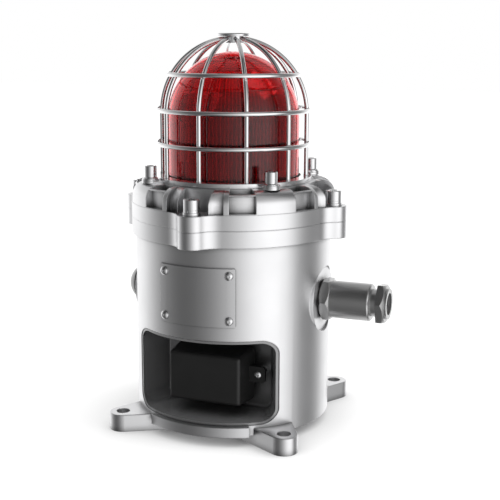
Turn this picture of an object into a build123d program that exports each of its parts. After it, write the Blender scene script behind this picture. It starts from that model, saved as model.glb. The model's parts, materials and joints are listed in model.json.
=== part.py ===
"""Flameproof beacon sounder: a cast housing with a sounder in a front window, a bolted cover that
holds a glass dome over a ribbed red lens, a welded wire guard, a cable gland and a blanking plug.

Millimetres, +Z up. The origin lies on the body axis, level with the undersides of the feet. The
front (the sounder window) faces -Y and the cable gland points along +X. An azimuth is measured from
the front, positive towards the gland.
"""

from build123d import *
from math import acos, asin, cos, degrees, pi, radians, sin, sqrt, tan
import os

# Glass dome, which sets the size of the lamp and the guard
dome_radius = 53.4
dome_wall = 1.8
dome_flange_radius = dome_radius + 6.6

# Housing casting
body_radius = 80.0
body_wall = 6.0
body_bottom = 8.0
floor_thickness = 6.0
flange_radius = body_radius + 3.0
parting_height = 170.7
flange_bottom = parting_height - 13.2
ear_radius = 10.8
ear_blend = 20.0

# Feet, with their holes on a square
foot_hole_spacing = 1.73 * body_radius
foot_hole_radius = 5.5
foot_thickness = 14.0
foot_end_radius = 11.0
foot_flare = 15.0
foot_root_radius = body_radius - 22.0
foot_edge = 0.8

# Front window, the lip below it and the sound chamber in it
window_half_width = 59.4
window_bottom = 16.3
window_top = parting_height - 86.4
window_corner = 12.0
lip_radius = body_radius + 4.0
lip_top = 16.0
lip_half_angle = 30.0
chamber_fit = 0.2
chamber_wall = 2.0
chamber_back = 30.0
chamber_back_half_width = 47.4
chamber_side_corner = 9.0
chamber_back_corner = 2.0
chamber_skin = 0.4

# Sounder in the chamber
sounder_front = 63.6
sounder_rear = 37.0
sounder_half_width = 33.0
sounder_half_height = (window_top - window_bottom) / 2 - 11.5
sounder_centre_height = window_bottom + sounder_half_height + 9.2
sounder_draft = 6.4
sounder_wall = 2.2
sounder_corner = 5.0
sounder_edge = 3.0
sounder_back_thickness = 2.0
sounder_fit = 0.15
driver_margin = 6.5
driver_radius = sounder_half_height - driver_margin
driver_depth = 13.0
driver_magnet_share = 0.625
driver_magnet_radius = driver_magnet_share * driver_radius
lug_x = 39.0
lug_height = sounder_centre_height + 2.6
lug_half_width = 5.8
lug_half_tall = 6.4
lug_thickness = 3.0
lug_front = 46.0
rear_post_x = 20.0
rear_post_rise = 12.0
sounder_post_radius = 4.0
sounder_screw_radius = 1.5
sounder_screw_head_radius = 2.9
sounder_screw_head_height = 2.2
sounder_screw_recess = 0.7
sounder_screw_length = 9.0

# Name plate, left bare, and its screws
plate_thickness = 1.5
plate_half_angle = 22.5
plate_top = flange_bottom - 15.9
plate_bottom = plate_top - 45.6
plate_seat = 0.05
plate_screw_angle = 19.15
plate_screw_low = plate_bottom + 5.1
plate_screw_high = plate_top - 5.3
plate_screw_radius = 1.5
plate_screw_head_radius = 3.5
plate_screw_head_height = 2.5
plate_screw_depth = 4.0
plate_screw_socket = 2.0

# Cover casting
cover_flange_thickness = 12.0
cover_top = parting_height + 29.3
shoulder_radius = flange_radius - 5.5
shoulder_round = 10.5
pad_radius = flange_radius - 0.2
pad_core_radius = flange_radius - 15.0
spigot_depth = 8.0
spigot_fit = 0.15
cavity_radius = dome_flange_radius + 2.0
lip_thickness = 10.0
pad_start = 16.3
pocket_start = 19.2
pocket_end = 33.4
pocket_depth = 5.8
pocket_bottom = cover_top - 16.6
pocket_top = cover_top - 3.4
hood_depth = 4.0
hood_outer_radius = flange_radius - 4.4
notch_half_width = 12.4
notch_radius = cavity_radius + 4.5
seal_groove_inner = body_radius - 4.0
seal_groove_width = 2.4
seal_groove_depth = 1.6
seal_gap = 0.05

# Cover bolts (M8 socket heads) with a plain and a spring washer
cover_bolt_circle = body_radius + 5.0
cover_bolt_radius = 4.0
cover_bolt_head_radius = 6.4
cover_bolt_head_height = 8.0
cover_bolt_socket = 6.0
cover_bolt_length = 24.0
cover_washer_radius = 6.9
cover_washer_thickness = 2.0
spring_washer_radius = 6.4
spring_washer_thickness = 2.0
spring_washer_slit = 0.8
thread_clearance = 0.05
through_clearance = 0.5

# Glass dome and how it is held
dome_spring_height = cover_top + 48.6
dome_flange_thickness = 4.0
dome_seal_thickness = 1.5
dome_fit = 0.7
retainer_thickness = 6.0
retainer_bore_radius = dome_radius - dome_wall + 0.4
retainer_fit = 0.2
lamp_plate_thickness = 3.0
lamp_plate_screw_circle = retainer_bore_radius + 3.6
lamp_plate_screw_radius = 2.0

# Ribbed lens under the dome
lens_radius = dome_radius - dome_wall - 0.3
lens_wall = 2.0
lens_rib_count = 104
lens_rib_depth = 0.9
lens_shoulder_height = dome_spring_height
crown_step_count = 7
crown_step_height = 1.0
crown_rise = 0.726 * (lens_radius - lens_rib_depth)

# Lamp column with six LED boards, inside the lens
column_sides = 6
column_apothem = lens_radius - 10.5
column_top = dome_spring_height + 9.4
column_cap_height = 10.0
column_cap_radius = column_apothem + 5.8
column_cap_taper = 24.0
column_cap_wall = 2.5
column_foot_radius = column_apothem + 4.0
column_foot_thickness = 4.0
column_bore_radius = column_apothem - 4.0
plate_bore_radius = 20.0
led_board_width = 0.85 * column_apothem
led_board_height = 70.0
led_board_thickness = 1.6
led_size = 5.0
led_thickness = 1.6
led_columns = 3
led_rows = 5
led_pitch_across = 11.0
led_pitch_up = 14.0
seat_gap = 0.05
connector_azimuth = 37.0
connector_height = 37.5
connector_width = 8.0
connector_depth = 2.6
connector_radius = column_apothem + 5.7

# Wire guard
guard_base_thickness = 3.5
guard_base_inner = dome_radius + 1.4
guard_base_outer = guard_base_inner + 9.2
guard_tab_radius = 7.0
guard_tab_thickness = 2.0
guard_bar_count = 10
guard_bar_first = -4.87
guard_bar_radius = guard_base_inner + 4.4
guard_bar_wire = 3.5
guard_bar_bend_height = cover_top + 53.2
guard_ring_wire = 3.4
guard_ring_rises = {"lower": 29.4, "middle": 56.1, "upper": 84.0}
guard_weld = 0.05
guard_hub_gap = 0.35
guard_hub_radius = 8.5
guard_hub_bottom = guard_bar_bend_height + guard_bar_radius - 3.9
guard_disc_radius = 13.1
guard_disc_thickness = 2.2
guard_top = guard_hub_bottom + 7.5

# Guard bolts (M6, tall cylindrical heads) with plain washers
guard_bolt_circle = guard_base_outer + 7.35
guard_bolt_radius = 3.0
guard_bolt_head_radius = 4.8
guard_bolt_head_height = 9.0
guard_bolt_flare_radius = 6.0
guard_bolt_flare_height = 1.4
guard_bolt_socket = 5.0
guard_bolt_length = 18.0
guard_washer_radius = 6.9
guard_washer_thickness = 1.2

# Cable entries at the sides: one gland and one blanking plug
entry_height = window_top + 21.9
entry_boss_radius = 26.5
entry_boss_root_radius = 29.5
entry_boss_face = body_radius - 2.0
entry_thread_radius = 10.0
entry_inner_end = body_radius - 12.0
gland_washer_thickness = 0.6
gland_washer_radius = 14.5
locknut_across_flats = 31.0
locknut_thickness = 8.2
gland_barrel_radius = 15.0
gland_barrel_end = entry_boss_face + 40.7
gland_neck_radius = 11.0
gland_neck_length = 5.6
gland_cable_bore = 6.0
gland_stem_radius = 9.0
gland_stem_length = 5.0
gland_nut_across_flats = 29.6
gland_nut_turn = -8.0
gland_nut_length = 6.4
gland_collar_radius = 12.2
gland_collar_length = 1.9
gland_mouth_radius = 8.8
gland_mouth_wall = 2.2
gland_edge = 1.0
plug_head_radius = 15.0
plug_rim = 7.0
plug_reach = entry_boss_face + plug_rim + 9.6
plug_socket = 10.0
plug_socket_depth = 5.0

# Board tray and boards inside the housing
tray_height = window_top + 7.7
tray_thickness = 2.0
tray_radius = body_radius - 9.0
tray_post_circle = body_radius - 20.0
tray_post_azimuths = (100.0, 150.0, 210.0, 260.0)
tray_post_across_flats = 8.0
tray_post_stub_radius = 2.0
tray_post_stub = 4.0
board_width = 90.0
board_depth = 64.0
board_thickness = 1.6
board_centre_y = 8.0
board_spacer_height = 8.0
board_spacer_radius = 3.0
board_screw_radius = 1.5
board_screw_head_radius = 2.8
board_screw_head_height = 2.0
board_hole_inset = 5.0
transformer_size = (32.0, 28.0, 24.0)
transformer_place = (-20.0, 12.0)
terminal_length = 36.0
terminal_width = 14.0
terminal_height = 13.0
terminal_place = (30.0, 4.0)
terminal_ways = 5

# Sizes that follow from the ones above
bore_radius = body_radius - body_wall
floor_top = body_bottom + floor_thickness
cover_flange_top = parting_height + cover_flange_thickness
cavity_top = cover_top - lip_thickness
shoulder_bottom = parting_height + cover_flange_thickness / 2
foot_circle = foot_hole_spacing / sqrt(2)
dome_flange_top = cavity_top - dome_seal_thickness
dome_flange_bottom = dome_flange_top - dome_flange_thickness
retainer_bottom = dome_flange_bottom - retainer_thickness
lamp_plate_top = retainer_bottom
lamp_plate_bottom = lamp_plate_top - lamp_plate_thickness
dome_opening_radius = dome_radius + dome_fit
led_board_bottom = lamp_plate_top + 7.5
cover_bolt_seat = cover_flange_top + cover_washer_thickness + spring_washer_thickness
guard_washer_top = cover_top + guard_tab_thickness + guard_washer_thickness
guard_base_top = cover_top + guard_base_thickness
ear_count = 4
ear_start = 0.0
diagonal_start = 45.0

os.makedirs("parts", exist_ok=True)


def turn(azimuth):
    """Angle about +Z, from +X, of an azimuth measured from the front."""
    return azimuth - 90.0


def place(radius, azimuth):
    """X and Y of a point at a radius and azimuth."""
    return (radius * sin(radians(azimuth)), -radius * cos(radians(azimuth)))


def save(piece, name):
    """Labels a finished piece and writes it as a STEP file."""
    piece.label = name
    export_step(piece, f"parts/{name}.step")


def socket_screw(radius, length, head_radius, head_height, socket, flare_radius=0, flare_height=0):
    """Socket head screw with its seat at z = 0 and its shank below."""
    with BuildPart() as screw:
        with BuildSketch(Plane.XZ):
            with BuildLine():
                Polyline((0, -length), (radius, -length), (radius, 0))
                if flare_height:
                    Polyline((radius, 0), (flare_radius, 0), (flare_radius, flare_height / 2))
                    Line((flare_radius, flare_height / 2), (head_radius, flare_height))
                    Line((head_radius, flare_height), (head_radius, head_height))
                else:
                    Polyline((radius, 0), (head_radius, 0), (head_radius, head_height))
                Polyline((head_radius, head_height), (0, head_height), (0, -length))
            make_face()
        revolve(axis=Axis.Z)
        chamfer(screw.edges().group_by(Axis.Z)[-1], length=head_radius * 0.08)
        with BuildSketch(Plane.XY.offset(head_height)):
            RegularPolygon(socket / 2, 6, major_radius=False)
        extrude(amount=-head_height / 2, mode=Mode.SUBTRACT)
    return screw.part


def domed_screw(radius, length, head_radius, rim, head_height):
    """Screw with a domed head above a short rim, its seat at z = 0 and its shank below."""
    rise = head_height - rim
    dome = (head_radius**2 + rise**2) / (2 * rise)
    start = degrees(acos(head_radius / dome))
    with BuildPart() as screw:
        with BuildSketch(Plane.XZ):
            with BuildLine():
                Polyline((0, -length), (radius, -length), (radius, 0), (head_radius, 0))
                Line((head_radius, 0), (head_radius, rim))
                CenterArc((0, head_height - dome), dome, start, 90 - start)
                Line((0, head_height), (0, -length))
            make_face()
        revolve(axis=Axis.Z)
    return screw.part


def ring(inner, outer, bottom, height):
    """Flat ring about the body axis."""
    with BuildPart() as band:
        with BuildSketch(Plane.XY.offset(bottom)):
            Circle(outer)
            Circle(inner, mode=Mode.SUBTRACT)
        extrude(amount=height)
    return band.part


def shoulder(inner, radius, azimuth, sweep):
    """Part of the cover's rounded shoulder, between the flange and the top plane."""
    with BuildPart() as band:
        with BuildSketch(Plane.XZ):
            with BuildLine():
                Polyline(
                    (inner, cover_top),
                    (inner, shoulder_bottom),
                    (radius, shoulder_bottom),
                    (radius, cover_top - shoulder_round),
                )
                CenterArc(
                    (radius - shoulder_round, cover_top - shoulder_round), shoulder_round, 0, 90
                )
                Line((radius - shoulder_round, cover_top), (inner, cover_top))
            make_face()
        revolve(axis=Axis.Z, revolution_arc=sweep)
    return band.part.rotate(Axis.Z, turn(azimuth))


def sector(inner, outer, bottom, top, azimuth, sweep):
    """Part of a flat ring, from one azimuth over a sweep."""
    with BuildPart() as band:
        with BuildSketch(Plane.XZ):
            with BuildLine():
                Polyline((inner, bottom), (outer, bottom), (outer, top), (inner, top), close=True)
            make_face()
        revolve(axis=Axis.Z, revolution_arc=sweep)
    return band.part.rotate(Axis.Z, turn(azimuth))


# Outline shared by the two bolting flanges: a disc with four ears, blended in
with BuildSketch() as flange_outline:
    Circle(flange_radius)
    with PolarLocations(cover_bolt_circle, ear_count, start_angle=ear_start):
        Circle(ear_radius)
    fillet(flange_outline.vertices(), ear_blend)

# One foot, pointing along +X
foot_half_root = foot_end_radius / cos(radians(foot_flare)) + (foot_circle - foot_root_radius) * tan(
    radians(foot_flare)
)
foot_tangent_x = foot_circle + foot_end_radius * sin(radians(foot_flare))
foot_tangent_y = foot_end_radius * cos(radians(foot_flare))
with BuildPart() as foot:
    with BuildSketch():
        with BuildLine():
            Line((foot_root_radius, -foot_half_root), (foot_tangent_x, -foot_tangent_y))
            ThreePointArc(
                (foot_tangent_x, -foot_tangent_y),
                (foot_circle + foot_end_radius, 0),
                (foot_tangent_x, foot_tangent_y),
            )
            Line((foot_tangent_x, foot_tangent_y), (foot_root_radius, foot_half_root))
            Line((foot_root_radius, foot_half_root), (foot_root_radius, -foot_half_root))
        make_face()
    extrude(amount=foot_thickness)
    fillet(foot.edges().group_by(Axis.Z)[-1], foot_edge)

with BuildPart() as housing:
    with BuildSketch(Plane.XY.offset(body_bottom)):
        Circle(body_radius)
    extrude(amount=flange_bottom - body_bottom)
    with BuildSketch(Plane.XY.offset(flange_bottom)):
        add(flange_outline.sketch)
    extrude(amount=parting_height - flange_bottom)
    with PolarLocations(0, 4, start_angle=diagonal_start):
        add(foot.part)
    add(sector(bore_radius, lip_radius, body_bottom, lip_top, -lip_half_angle, 2 * lip_half_angle))
    # Flared round bosses for the two cable entries
    with BuildSketch(Plane.XZ):
        with BuildLine():
            Polyline(
                (bore_radius - 4, entry_height),
                (bore_radius - 4, entry_height + entry_boss_root_radius),
                (entry_boss_face, entry_height + entry_boss_radius),
                (entry_boss_face, entry_height),
                close=True,
            )
        make_face()
    revolve(axis=Axis((0, 0, entry_height), (1, 0, 0)))
    with BuildSketch(Plane.XZ):
        with BuildLine():
            Polyline(
                (4 - bore_radius, entry_height),
                (4 - bore_radius, entry_height + entry_boss_root_radius),
                (-entry_boss_face, entry_height + entry_boss_radius),
                (-entry_boss_face, entry_height),
                close=True,
            )
        make_face()
    revolve(axis=Axis((0, 0, entry_height), (1, 0, 0)))
    # Spot faces that level the body above and below each boss
    for reach in (entry_boss_face, -lip_radius):
        with BuildSketch(Plane.YZ.offset(reach)):
            with Locations((0, entry_height)):
                Circle(entry_boss_radius)
        extrude(amount=lip_radius - entry_boss_face, mode=Mode.SUBTRACT)
    # Inside of the body, open at the top
    with BuildSketch(Plane.XY.offset(floor_top)):
        Circle(bore_radius)
    extrude(amount=parting_height - floor_top, mode=Mode.SUBTRACT)
    # Window with rounded corners
    with BuildSketch(Plane.XZ.offset(chamber_back)):
        with Locations((0, (window_bottom + window_top) / 2)):
            RectangleRounded(2 * window_half_width, window_top - window_bottom, window_corner)
    extrude(amount=lip_radius, mode=Mode.SUBTRACT)
    # Entry holes through both bosses
    with BuildSketch(Plane.YZ.offset(-entry_boss_face)):
        with Locations((0, entry_height)):
            Circle(entry_thread_radius)
    extrude(amount=2 * entry_boss_face, mode=Mode.SUBTRACT)
    # Foot holes
    with Locations((0, 0, foot_thickness)):
        with GridLocations(foot_hole_spacing, foot_hole_spacing, 2, 2):
            Hole(foot_hole_radius)
    # Tapped holes in the ears
    with Locations((0, 0, parting_height)):
        with PolarLocations(cover_bolt_circle, ear_count, start_angle=ear_start):
            Hole(
                cover_bolt_radius + thread_clearance,
                depth=cover_bolt_length - (cover_bolt_seat - parting_height) + 1.0,
            )
    # Groove for the flange seal
    with BuildSketch(Plane.XY.offset(parting_height)):
        Circle(seal_groove_inner + seal_groove_width)
        Circle(seal_groove_inner, mode=Mode.SUBTRACT)
    extrude(amount=-seal_groove_depth, mode=Mode.SUBTRACT)
    # Tapped holes for the tray posts, in the floor
    with Locations([(*place(tray_post_circle, a), floor_top) for a in tray_post_azimuths]):
        Hole(tray_post_stub_radius + thread_clearance, depth=tray_post_stub + 0.5)
    # Holes for the name plate screws
    for height in (plate_screw_low, plate_screw_high):
        for azimuth in (-plate_screw_angle, plate_screw_angle):
            x_axis = (cos(radians(azimuth)), sin(radians(azimuth)), 0)
            with BuildSketch(
                Plane(
                    origin=(*place(body_radius + 1, azimuth), height),
                    x_dir=x_axis,
                    z_dir=(*place(1, azimuth), 0),
                )
            ):
                Circle(plate_screw_radius + thread_clearance)
            extrude(amount=-(plate_screw_depth + 1.5), mode=Mode.SUBTRACT)
save(housing.part, "housing")


def chamber_form(inset, back):
    """The space in the window that tapers to the chamber's back wall, shrunk by an inset."""
    rim_depth = sqrt(body_radius**2 - window_half_width**2)
    taper = (window_half_width - chamber_back_half_width) / (rim_depth - chamber_back)
    rear_half_width = chamber_back_half_width + (back - chamber_back) * taper - inset
    front_half_width = rear_half_width + (body_radius - back) * taper
    with BuildPart() as form:
        with BuildSketch(Plane.XY.offset(window_bottom + inset)) as plan:
            with BuildLine():
                Polyline(
                    (-rear_half_width, -back),
                    (-front_half_width, -body_radius),
                    (front_half_width, -body_radius),
                    (rear_half_width, -back),
                    close=True,
                )
            make_face()
        extrude(amount=window_top - window_bottom - 2 * inset)
        sides = form.edges().filter_by(Plane.XY).filter_by(Axis.X, reverse=True)
        fillet(sides, chamber_side_corner - inset)
        rear = form.faces().sort_by(Axis.Y)[-1]
        fillet(rear.edges(), chamber_back_corner)
        with BuildSketch(Plane.XZ.offset(back - 1)):
            with Locations((0, (window_bottom + window_top) / 2)):
                RectangleRounded(
                    2 * (window_half_width - inset),
                    window_top - window_bottom - 2 * inset,
                    window_corner - inset,
                )
        extrude(amount=lip_radius, mode=Mode.INTERSECT)
    return form.part


with BuildPart() as sound_chamber:
    add(chamber_form(chamber_fit, chamber_back - chamber_wall))
    with BuildSketch(Plane.XY):
        Circle(body_radius - chamber_skin)
    extrude(amount=window_top, mode=Mode.INTERSECT)
    add(chamber_form(chamber_fit + chamber_wall, chamber_back), mode=Mode.SUBTRACT)
    with BuildSketch(Plane.XZ.offset(chamber_back - chamber_wall)):
        with Locations((lug_x, lug_height)):
            Circle(sounder_screw_radius + thread_clearance)
    extrude(amount=2 * chamber_wall, mode=Mode.SUBTRACT)
save(sound_chamber.part, "sound_chamber")

# Sounder case: a drafted box with an open rear and a lug at the gland's side
sounder_depth = sounder_front - sounder_rear
lug_rear = lug_front - lug_thickness
with BuildPart() as sounder_case:
    with BuildSketch(Plane.XZ.offset(sounder_rear)):
        with Locations((0, sounder_centre_height)):
            RectangleRounded(2 * sounder_half_width, 2 * sounder_half_height, sounder_corner)
    extrude(amount=sounder_depth, taper=sounder_draft)
    front_face = sounder_case.faces().sort_by(Axis.Y)[0]
    fillet(front_face.edges(), sounder_edge)
    with BuildSketch(Plane.XZ.offset(lug_rear)):
        with Locations(((lug_x + lug_half_width) / 2, lug_height)):
            RectangleRounded(lug_x + lug_half_width, 2 * lug_half_tall, 2.0)
    extrude(amount=lug_thickness)
    with BuildSketch(Plane.XZ.offset(sounder_rear)):
        with Locations((0, sounder_centre_height)):
            RectangleRounded(
                2 * (sounder_half_width - sounder_wall),
                2 * (sounder_half_height - sounder_wall),
                sounder_corner - sounder_wall,
            )
    extrude(amount=sounder_depth - sounder_wall, taper=sounder_draft, mode=Mode.SUBTRACT)
    with BuildSketch(Plane.XZ.offset(lug_rear)):
        with Locations((lug_x, lug_height)):
            Circle(sounder_screw_radius + through_clearance / 2)
    extrude(amount=lug_thickness, mode=Mode.SUBTRACT)
save(sounder_case.part, "sounder_case")

with BuildPart() as sounder_back:
    inset = sounder_wall + sounder_fit + sounder_back_thickness * tan(radians(sounder_draft))
    with BuildSketch(Plane.XZ.offset(sounder_rear)):
        with Locations((0, sounder_centre_height)):
            RectangleRounded(
                2 * (sounder_half_width - inset),
                2 * (sounder_half_height - inset),
                sounder_corner - sounder_wall,
            )
    extrude(amount=sounder_back_thickness)
save(sounder_back.part, "sounder_back")

# Driver: a magnet pot behind a round diaphragm frame, seated on the back plate
driver_base = sounder_rear + sounder_back_thickness
with BuildPart() as sounder_driver:
    with BuildSketch(Plane.XZ.offset(driver_base)):
        with Locations((0, sounder_centre_height)):
            Circle(driver_magnet_radius)
    extrude(amount=driver_depth)
    with BuildSketch(Plane.XZ.offset(driver_base + driver_depth / 2)):
        with Locations((0, sounder_centre_height)):
            Circle(driver_radius)
    extrude(amount=driver_depth / 2)
save(sounder_driver.part, "sounder_driver")

# Tapped post behind the lug, and plain posts behind the back plate
with BuildPart() as sounder_posts:
    with BuildSketch(Plane.XZ.offset(chamber_back)):
        with Locations((lug_x, lug_height)):
            Circle(sounder_post_radius)
            Circle(sounder_screw_radius + thread_clearance, mode=Mode.SUBTRACT)
    extrude(amount=lug_rear - chamber_back)
    with BuildSketch(Plane.XZ.offset(chamber_back)):
        with Locations((0, sounder_centre_height)):
            with GridLocations(2 * rear_post_x, 2 * rear_post_rise, 2, 2):
                Circle(sounder_post_radius)
    extrude(amount=sounder_rear - chamber_back)
save(sounder_posts.part, "sounder_posts")

# Pan head screw with a cross recess, its seat at z = 0
with BuildPart() as pan_screw:
    add(
        domed_screw(
            sounder_screw_radius,
            sounder_screw_length,
            sounder_screw_head_radius,
            sounder_screw_head_height / 2,
            sounder_screw_head_height,
        )
    )
    with BuildSketch(Plane.XY.offset(sounder_screw_head_height)):
        Rectangle(sounder_screw_head_radius * 1.1, sounder_screw_recess)
        Rectangle(sounder_screw_recess, sounder_screw_head_radius * 1.1)
    extrude(amount=-sounder_screw_head_height / 2, mode=Mode.SUBTRACT)

sounder_screw = pan_screw.part.rotate(Axis.X, 90).translate((lug_x, -lug_front, lug_height))
save(sounder_screw, "sounder_screws")

with BuildPart() as name_plate:
    add(
        sector(
            body_radius + plate_seat,
            body_radius + plate_seat + plate_thickness,
            plate_bottom,
            plate_top,
            -plate_half_angle,
            2 * plate_half_angle,
        )
    )
    for height in (plate_screw_low, plate_screw_high):
        for azimuth in (-plate_screw_angle, plate_screw_angle):
            x_axis = (cos(radians(azimuth)), sin(radians(azimuth)), 0)
            with BuildSketch(
                Plane(
                    origin=(*place(body_radius - 1, azimuth), height),
                    x_dir=x_axis,
                    z_dir=(*place(1, azimuth), 0),
                )
            ):
                Circle(plate_screw_radius + through_clearance / 2)
            extrude(amount=plate_thickness + 2, mode=Mode.SUBTRACT)
save(name_plate.part, "name_plate")

# Domed screw with a hexagon socket, its seat at z = 0
with BuildPart() as dome_screw:
    add(
        domed_screw(
            plate_screw_radius,
            plate_screw_depth + plate_seat + plate_thickness,
            plate_screw_head_radius,
            plate_screw_head_height * 0.3,
            plate_screw_head_height,
        )
    )
    with BuildSketch(Plane.XY.offset(plate_screw_head_height)):
        RegularPolygon(plate_screw_socket / 2, 6, major_radius=False)
    extrude(amount=-plate_screw_head_height / 2, mode=Mode.SUBTRACT)

with BuildPart() as plate_screws:
    seat_radius = body_radius + plate_seat + plate_thickness + seat_gap
    for height in (plate_screw_low, plate_screw_high):
        for azimuth in (-plate_screw_angle, plate_screw_angle):
            lying = dome_screw.part.rotate(Axis.Y, 90).rotate(Axis.Z, turn(azimuth))
            add(lying.translate((*place(seat_radius, azimuth), height)))
save(plate_screws.part, "plate_screws")

flange_seal = ring(
    seal_groove_inner + seal_gap,
    seal_groove_inner + seal_groove_width - seal_gap,
    parting_height - seal_groove_depth,
    seal_groove_depth - seal_gap,
)
save(flange_seal, "flange_seal")

# Cover: flange, notched shoulder, four raised sectors with two pockets each and a stepped bore
pad_sweep = 90.0 - 2 * pad_start
pocket_sweep = pocket_end - pocket_start
cover_solids = []
cover_pockets = []
for quarter in (0, 90, 180, 270):
    far_pocket = quarter + 90 - pocket_end
    cover_solids += [
        shoulder(pad_core_radius, pad_radius, quarter + pad_start, pad_sweep),
    ]
    for start in (quarter + pocket_start, far_pocket):
        cover_pockets += [
            sector(
                pad_radius - pocket_depth,
                pad_radius + 5,
                pocket_bottom,
                pocket_top,
                start,
                pocket_sweep,
            ),
            sector(
                guard_base_outer + 1.5,
                hood_outer_radius,
                cover_top - hood_depth,
                cover_top + 2,
                start,
                pocket_sweep,
            ),
        ]
# The shoulder flares out to the ears, its top edge rounded all the way round
with BuildPart() as flared_shoulder:
    with BuildSketch(Plane.XY.offset(shoulder_bottom)) as shoulder_outline:
        Circle(shoulder_radius)
        with PolarLocations(cover_bolt_circle, ear_count, start_angle=ear_start):
            Circle(ear_radius)
        fillet(shoulder_outline.vertices(), ear_blend)
    extrude(amount=cover_top - shoulder_bottom)
    fillet(flared_shoulder.edges().group_by(Axis.Z)[-1], shoulder_round)
    # Notches behind the cover bolts, open outwards
    with BuildSketch(Plane.XY.offset(shoulder_bottom)):
        with PolarLocations(notch_radius, ear_count, start_angle=ear_start):
            Rectangle(flange_radius, 2 * notch_half_width, align=(Align.MIN, Align.CENTER))
    extrude(amount=cover_top - shoulder_bottom, mode=Mode.SUBTRACT)
with BuildPart() as cover:
    with BuildSketch(Plane.XY.offset(parting_height)):
        add(flange_outline.sketch)
    extrude(amount=cover_flange_thickness)
    add(flared_shoulder.part)
    add(cover_solids)
    add(cover_pockets, mode=Mode.SUBTRACT)
    # Spigot that locates in the housing, then the stepped bore for the dome
    with BuildSketch(Plane.XY.offset(parting_height)):
        Circle(bore_radius - spigot_fit)
    extrude(amount=-spigot_depth)
    with BuildSketch(Plane.XY.offset(parting_height - spigot_depth)):
        Circle(cavity_radius)
    extrude(amount=cavity_top - parting_height + spigot_depth, mode=Mode.SUBTRACT)
    with BuildSketch(Plane.XY.offset(cavity_top)):
        Circle(dome_opening_radius)
    extrude(amount=lip_thickness, mode=Mode.SUBTRACT)
    # Holes for the cover bolts and tapped holes for the guard bolts
    with Locations((0, 0, cover_flange_top)):
        with PolarLocations(cover_bolt_circle, ear_count, start_angle=ear_start):
            Hole(cover_bolt_radius + through_clearance, depth=cover_flange_thickness)
    with Locations((0, 0, cover_top)):
        with PolarLocations(guard_bolt_circle, ear_count, start_angle=diagonal_start):
            Hole(
                guard_bolt_radius + thread_clearance,
                depth=guard_bolt_length - (guard_washer_top - cover_top) + 1.0,
            )
save(cover.part, "cover")

bolt = socket_screw(
    cover_bolt_radius,
    cover_bolt_length,
    cover_bolt_head_radius,
    cover_bolt_head_height,
    cover_bolt_socket,
)
with BuildPart() as cover_bolts:
    with Locations((0, 0, cover_bolt_seat)):
        with PolarLocations(cover_bolt_circle, ear_count, start_angle=ear_start):
            add(bolt)
save(cover_bolts.part, "cover_bolts")

with BuildPart() as cover_washers:
    with BuildSketch(Plane.XY.offset(cover_flange_top)):
        with PolarLocations(cover_bolt_circle, ear_count, start_angle=ear_start):
            Circle(cover_washer_radius)
            Circle(cover_bolt_radius + through_clearance, mode=Mode.SUBTRACT)
    extrude(amount=cover_washer_thickness)
save(cover_washers.part, "cover_washers")

# Split spring washers, the slits pointing outwards
with BuildPart() as spring_washers:
    with BuildSketch(Plane.XY.offset(cover_flange_top + cover_washer_thickness)):
        with PolarLocations(cover_bolt_circle, ear_count, start_angle=ear_start):
            Circle(spring_washer_radius)
            Circle(cover_bolt_radius + through_clearance / 2, mode=Mode.SUBTRACT)
            with Locations((spring_washer_radius, 0)):
                Rectangle(spring_washer_radius, spring_washer_slit, mode=Mode.SUBTRACT)
    extrude(amount=spring_washer_thickness)
save(spring_washers.part, "spring_washers")

# Blown glass dome with a ground flange at its foot
with BuildPart() as glass_dome:
    with BuildSketch(Plane.XZ):
        with BuildLine():
            Polyline(
                (dome_radius - dome_wall, dome_spring_height),
                (dome_radius - dome_wall, dome_flange_bottom),
                (dome_flange_radius, dome_flange_bottom),
                (dome_flange_radius, dome_flange_top),
                (dome_radius, dome_flange_top),
                (dome_radius, dome_spring_height),
            )
            CenterArc((0, dome_spring_height), dome_radius, 0, 90)
            Line(
                (0, dome_spring_height + dome_radius),
                (0, dome_spring_height + dome_radius - dome_wall),
            )
            CenterArc((0, dome_spring_height), dome_radius - dome_wall, 0, 90)
        make_face()
    revolve(axis=Axis.Z)
save(glass_dome.part, "glass_dome")

dome_seal = ring(dome_opening_radius + 1, cavity_radius - 1, dome_flange_top, dome_seal_thickness)
save(dome_seal, "dome_seal")

with BuildPart() as dome_retainer:
    add(ring(retainer_bore_radius, cavity_radius - retainer_fit, retainer_bottom, retainer_thickness))
    with Locations((0, 0, retainer_bottom + retainer_thickness)):
        with PolarLocations(lamp_plate_screw_circle, 4, start_angle=diagonal_start):
            Hole(lamp_plate_screw_radius + thread_clearance)
save(dome_retainer.part, "dome_retainer")

with BuildPart() as lamp_plate:
    with BuildSketch(Plane.XY.offset(lamp_plate_bottom)):
        Circle(cavity_radius - 1)
        Circle(plate_bore_radius, mode=Mode.SUBTRACT)
    extrude(amount=lamp_plate_thickness)
    with Locations((0, 0, lamp_plate_top)):
        with PolarLocations(lamp_plate_screw_circle, 4, start_angle=diagonal_start):
            Hole(lamp_plate_screw_radius + through_clearance / 2)
save(lamp_plate.part, "lamp_plate")

plate_bolt = socket_screw(
    lamp_plate_screw_radius,
    lamp_plate_thickness + retainer_thickness - 1,
    lamp_plate_screw_radius * 1.75,
    lamp_plate_screw_radius * 2,
    lamp_plate_screw_radius * 1.5,
)
with BuildPart() as lamp_plate_screws:
    with Locations((0, 0, lamp_plate_bottom)):
        with PolarLocations(lamp_plate_screw_circle, 4, start_angle=diagonal_start):
            add(plate_bolt.rotate(Axis.X, 180))
save(lamp_plate_screws.part, "lamp_plate_screws")

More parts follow.
